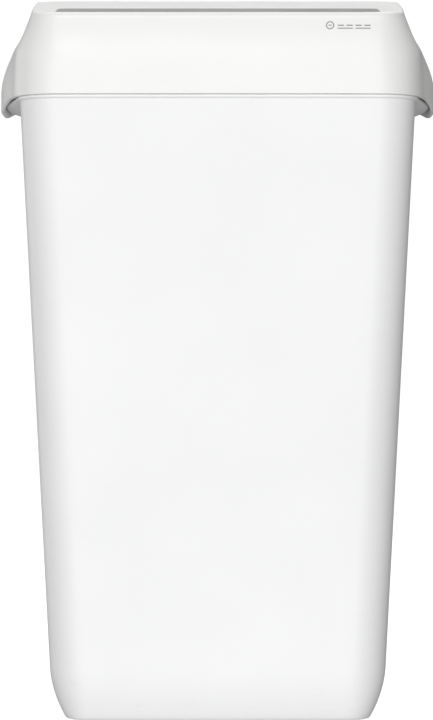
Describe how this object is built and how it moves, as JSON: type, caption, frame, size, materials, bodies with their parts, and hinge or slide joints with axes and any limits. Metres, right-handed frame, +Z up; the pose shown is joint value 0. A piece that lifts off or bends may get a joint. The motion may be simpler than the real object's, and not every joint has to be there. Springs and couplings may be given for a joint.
{
  "type": "waste bin",
  "caption": "Tapered moulded waste bin with a sloping hinged cover, a long inlet slot with a sprung flap, grip ears and wall-screw holes.",
  "frame": {"origin": "floor level, in the middle of the bin's width and depth", "axes": "+X across the bin's width, +Y towards the wall behind it, +Z up"},
  "size_m": [0.3344, 0.225, 0.5656],
  "materials": {
    "body_plastic": "fine satin moulded polypropylene, white",
    "cover_plastic": "satin moulded polypropylene, white",
    "inner_plastic": "satin moulded plastic, pale grey",
    "flap_plastic": "satin moulded plastic, mid grey",
    "steel": "bright zinc plated steel",
    "foot_rubber": "matt moulded rubber"
  },
  "bodies": {
    "bin": {"bin_body": "body_plastic", "hinge_arm_left": "inner_plastic", "hinge_arm_right": "inner_plastic", "arm_screws": "steel", "bag_ring": "steel", "foot_front_left": "foot_rubber", "foot_front_right": "foot_rubber", "foot_rear_left": "foot_rubber", "foot_rear_right": "foot_rubber"},
    "cover": {"cover_shell": "cover_plastic", "flap_carrier": "inner_plastic", "flap_spring": "steel", "carrier_screws": "steel", "hinge_pin_left": "steel", "hinge_pin_right": "steel"},
    "flap": {"inlet_flap": "flap_plastic", "flap_shaft": "steel"}
  },
  "joints": [
    {"name": "cover_hinge", "type": "hinge", "parent": "bin", "child": "cover", "pos_m": [0, 0.1032, 0.5566], "axis": [-1, 0, 0], "range_deg": [0, 92]},
    {"name": "flap_hinge", "type": "hinge", "parent": "cover", "child": "flap", "pos_m": [0, -0.03097, 0.53771], "axis": [1, 0, 0], "range_deg": [0, 72], "stiffness_Nm_per_rad": 0.02, "springref_deg": -85.94}
  ]
}
